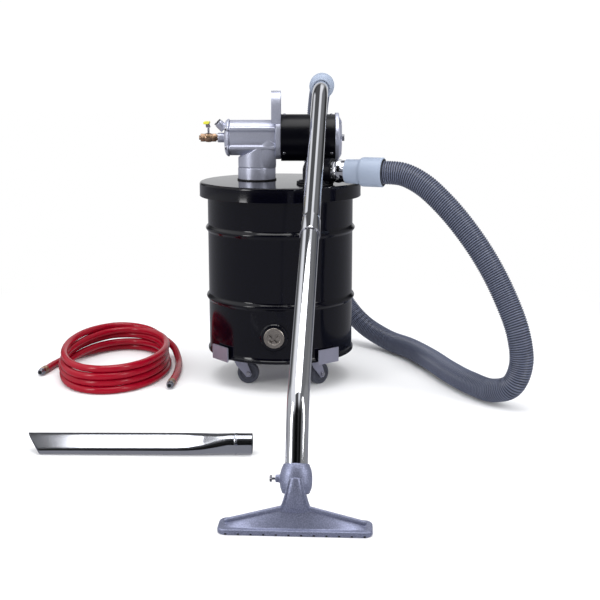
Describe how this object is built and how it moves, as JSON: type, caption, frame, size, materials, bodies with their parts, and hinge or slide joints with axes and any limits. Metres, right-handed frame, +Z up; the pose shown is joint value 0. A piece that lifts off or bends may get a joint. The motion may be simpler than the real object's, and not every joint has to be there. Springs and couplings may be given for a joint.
{
  "type": "drum vacuum cleaner kit",
  "caption": "Compressed-air drum vacuum on a caster dolly with venturi head, corrugated suction hose, bent wand, floor tool, crevice tool and coiled air hose.",
  "frame": {"origin": "middle of the footprint on the floor, measured without the suction hose and the coiled air hose", "axes": "+Z up; +Y from the floor tool towards the drum and its back; +X towards the hose inlet side"},
  "size_m": [1.5552, 1.8079, 0.9832],
  "materials": {
    "black_enamel": "gloss baked enamel",
    "black_powder_coat": "satin powder coat",
    "cast_aluminium": "satin cast and polished",
    "chromed_steel": "bright chrome",
    "zinc_plate": "dull zinc plate",
    "plain_steel": "machined",
    "brass": "bronze-coloured cast and machined",
    "nickel_plate": "nickel plate",
    "wheel_rubber": "moulded",
    "gasket_rubber": "moulded",
    "cuff_vinyl": "moulded satin",
    "hose_vinyl": "extruded, corrugated",
    "grip_vinyl": "dipped",
    "air_hose_vinyl": "extruded gloss",
    "filter_felt": "needle felt",
    "muffler_foam": "open-cell foam"
  },
  "bodies": {
    "dolly": {"dolly_cross": "zinc_plate"},
    "caster_front_left": {"caster_fork_front_left": "zinc_plate", "caster_axle_front_left": "plain_steel"},
    "wheel_front_left": {"caster_wheel_front_left": "wheel_rubber"},
    "caster_front_right": {"caster_fork_front_right": "zinc_plate", "caster_axle_front_right": "plain_steel"},
    "wheel_front_right": {"caster_wheel_front_right": "wheel_rubber"},
    "caster_rear_right": {"caster_fork_rear_right": "zinc_plate", "caster_axle_rear_right": "plain_steel"},
    "wheel_rear_right": {"caster_wheel_rear_right": "wheel_rubber"},
    "caster_rear_left": {"caster_fork_rear_left": "zinc_plate", "caster_axle_rear_left": "plain_steel"},
    "wheel_rear_left": {"caster_wheel_rear_left": "wheel_rubber"},
    "drum": {"drum_shell": "black_enamel", "drain_flange": "black_enamel"},
    "drain_plug": {"drain_plug": "nickel_plate"},
    "lid": {"lid": "black_enamel", "lid_gasket": "gasket_rubber", "neck_gasket": "gasket_rubber", "head_casting": "cast_aluminium", "nose_cap": "cast_aluminium", "port_plug": "plain_steel", "air_nozzle": "brass", "rear_flange": "cast_aluminium", "mixing_tube": "cast_aluminium", "muffler_shell": "black_powder_coat", "muffler_foam": "muffler_foam", "muffler_core": "plain_steel", "muffler_end_cap": "cast_aluminium", "end_cap_bolt": "plain_steel", "lifting_handle": "cast_aluminium", "valve_nipple": "brass", "valve_body": "brass", "filter_ring": "plain_steel", "filter_bag": "filter_felt", "inlet_gasket": "gasket_rubber", "inlet_elbow": "black_powder_coat", "inlet_tube": "chromed_steel", "hose_cuff_inlet": "cuff_vinyl", "vacuum_hose": "hose_vinyl", "hose_cuff_wand": "cuff_vinyl"},
    "valve_handle": {"valve_ball": "plain_steel", "valve_stem": "plain_steel", "valve_lever": "plain_steel", "lever_grip": "grip_vinyl"},
    "wand": {"wand_upper": "chromed_steel", "wand_lower": "chromed_steel"},
    "wand_button": {"wand_button": "plain_steel"},
    "floor_tool": {"floor_tool": "cast_aluminium", "tool_collar": "cast_aluminium"},
    "tool_screw": {"tool_screw": "plain_steel"},
    "crevice_tool": {"crevice_tool": "chromed_steel"},
    "air_hose": {"air_hose_coil": "air_hose_vinyl", "air_hose_end_left": "air_hose_vinyl", "air_hose_end_right": "air_hose_vinyl", "air_fitting_left": "brass", "air_fitting_right": "brass"}
  },
  "joints": [
    {"name": "caster_swivel_front_left", "type": "hinge", "parent": "dolly", "child": "caster_front_left", "pos_m": [0.03499, 0.43103, 0.088], "axis": [0, 0, 1], "continuous": true},
    {"name": "wheel_spin_front_left", "type": "hinge", "parent": "caster_front_left", "child": "wheel_front_left", "pos_m": [0.06099, 0.43103, 0.035], "axis": [0, 1, 0], "continuous": true},
    {"name": "caster_swivel_front_right", "type": "hinge", "parent": "dolly", "child": "caster_front_right", "pos_m": [0.26847, 0.40649, 0.088], "axis": [0, 0, 1], "continuous": true},
    {"name": "wheel_spin_front_right", "type": "hinge", "parent": "caster_front_right", "child": "wheel_front_right", "pos_m": [0.28779, 0.42389, 0.035], "axis": [-0.6691, 0.7431, 0], "continuous": true},
    {"name": "caster_swivel_rear_right", "type": "hinge", "parent": "dolly", "child": "caster_rear_right", "pos_m": [0.29301, 0.63996, 0.088], "axis": [0, 0, 1], "continuous": true},
    {"name": "wheel_spin_rear_right", "type": "hinge", "parent": "caster_rear_right", "child": "wheel_rear_right", "pos_m": [0.30399, 0.66353, 0.035], "axis": [-0.9063, 0.4226, 0], "continuous": true},
    {"name": "caster_swivel_rear_left", "type": "hinge", "parent": "dolly", "child": "caster_rear_left", "pos_m": [0.05953, 0.6645, 0.088], "axis": [0, 0, 1], "continuous": true},
    {"name": "wheel_spin_rear_left", "type": "hinge", "parent": "caster_rear_left", "child": "wheel_rear_left", "pos_m": [0.08396, 0.67339, 0.035], "axis": [-0.342, 0.9397, 0], "continuous": true},
    {"name": "drum_lift", "type": "slide", "parent": "dolly", "child": "drum", "axis": [0, 0, 1], "range_m": [0, 0.15]},
    {"name": "drain_plug_turn", "type": "hinge", "parent": "drum", "child": "drain_plug", "pos_m": [0.14726, 0.29608, 0.1806], "axis": [-0.0698, -0.9976, 0], "continuous": true},
    {"name": "lid_lift", "type": "slide", "parent": "drum", "child": "lid", "axis": [0, 0, 1], "range_m": [0, 0.45]},
    {"name": "valve_turn", "type": "hinge", "parent": "lid", "child": "valve_handle", "pos_m": [-0.0666, 0.56549, 0.8197], "axis": [0, 0, -1], "range_deg": [0, 90]},
    {"name": "wand_swing", "type": "hinge", "parent": "lid", "child": "wand", "pos_m": [0.29946, 0.72861, 0.93716], "axis": [0.0554, 0.991, 0.1219], "range_deg": [-25, 25]},
    {"name": "button_press", "type": "slide", "parent": "wand", "child": "wand_button", "axis": [-0.0262, -0.4687, 0.8829], "range_m": [0, 0.003], "stiffness_N_per_m": 600},
    {"name": "tool_swivel", "type": "hinge", "parent": "wand", "child": "floor_tool", "pos_m": [0.219, -0.71051, 0.105], "axis": [0.0227, 0.4061, 0.9135], "range_deg": [-45, 45]},
    {"name": "tool_screw_turn", "type": "hinge", "parent": "floor_tool", "child": "tool_screw", "pos_m": [0.219, -0.71051, 0.105], "axis": [-0.9984, 0.0558, 0], "continuous": true},
    {"name": "crevice_tool_lift", "type": "slide", "parent": "dolly", "child": "crevice_tool", "axis": [0, 0, 1], "range_m": [0, 0.3]},
    {"name": "air_hose_lift", "type": "slide", "parent": "dolly", "child": "air_hose", "axis": [0, 0, 1], "range_m": [0, 0.3]}
  ]
}
